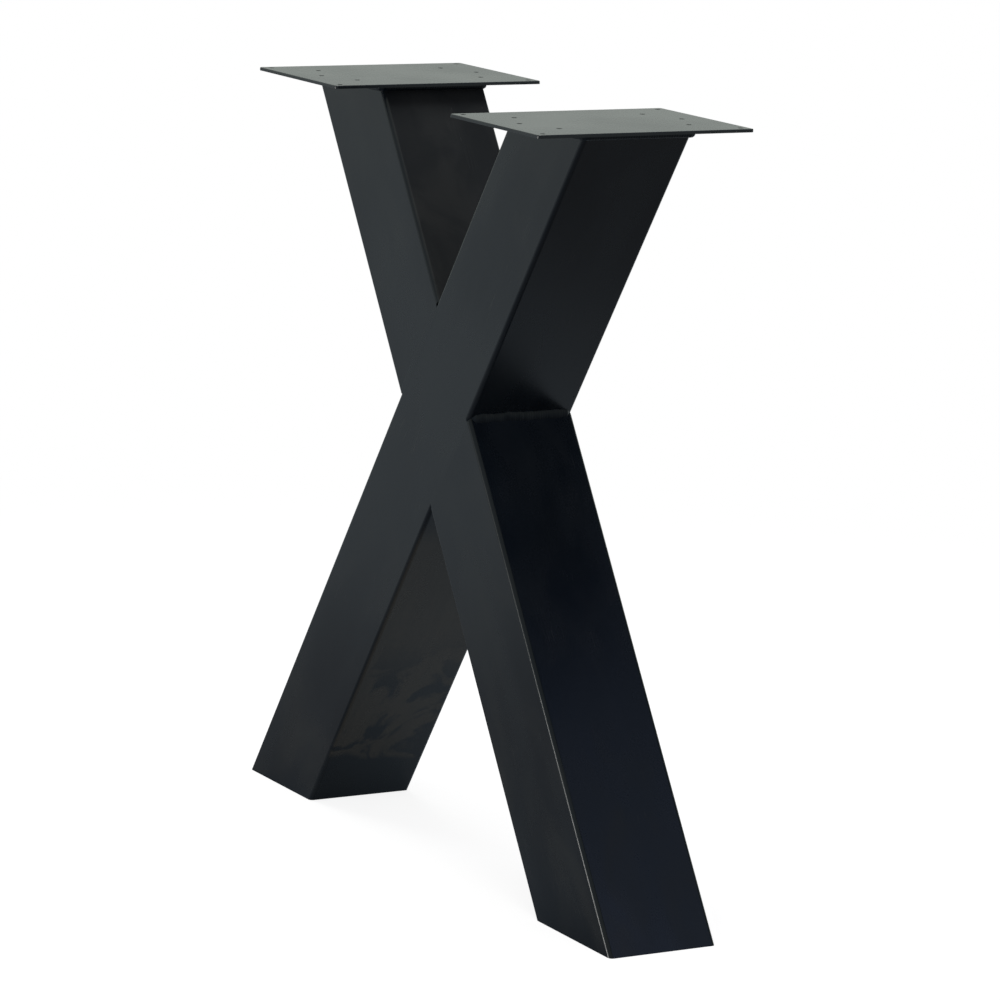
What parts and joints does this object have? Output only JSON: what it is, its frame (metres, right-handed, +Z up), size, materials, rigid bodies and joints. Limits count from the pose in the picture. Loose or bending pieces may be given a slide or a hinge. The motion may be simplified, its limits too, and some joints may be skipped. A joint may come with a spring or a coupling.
{
  "type": "x shaped table leg",
  "caption": "X-shaped table leg of crossed, welded square steel tubes, with a drilled fixing plate on each upper arm and level-cut feet.",
  "frame": {"origin": "on the floor, midway between the feet and in the middle of the tubes' depth", "axes": "+X across the crossed tubes towards the right foot, +Y through the depth to the back, +Z up"},
  "size_m": [0.7124, 0.22, 0.72],
  "materials": {
    "tube_coat": "satin black powder coat with a fine even texture",
    "plate_coat": "satin black powder coat on flat plate",
    "weld_coat": "satin black powder coat over weld metal"
  },
  "bodies": {
    "root": {"through_tube": "tube_coat", "upper_half_tube": "tube_coat", "lower_half_tube": "tube_coat", "left_foot_plate": "tube_coat", "right_foot_plate": "tube_coat", "left_top_plate": "plate_coat", "right_top_plate": "plate_coat", "top_notch_weld": "weld_coat", "bottom_notch_weld": "weld_coat", "left_notch_weld": "weld_coat", "right_notch_weld": "weld_coat", "upper_front_seam_weld": "weld_coat", "upper_back_seam_weld": "weld_coat", "lower_front_seam_weld": "weld_coat", "lower_back_seam_weld": "weld_coat", "left_plate_weld": "weld_coat", "right_plate_weld": "weld_coat"}
  },
  "joints": []
}
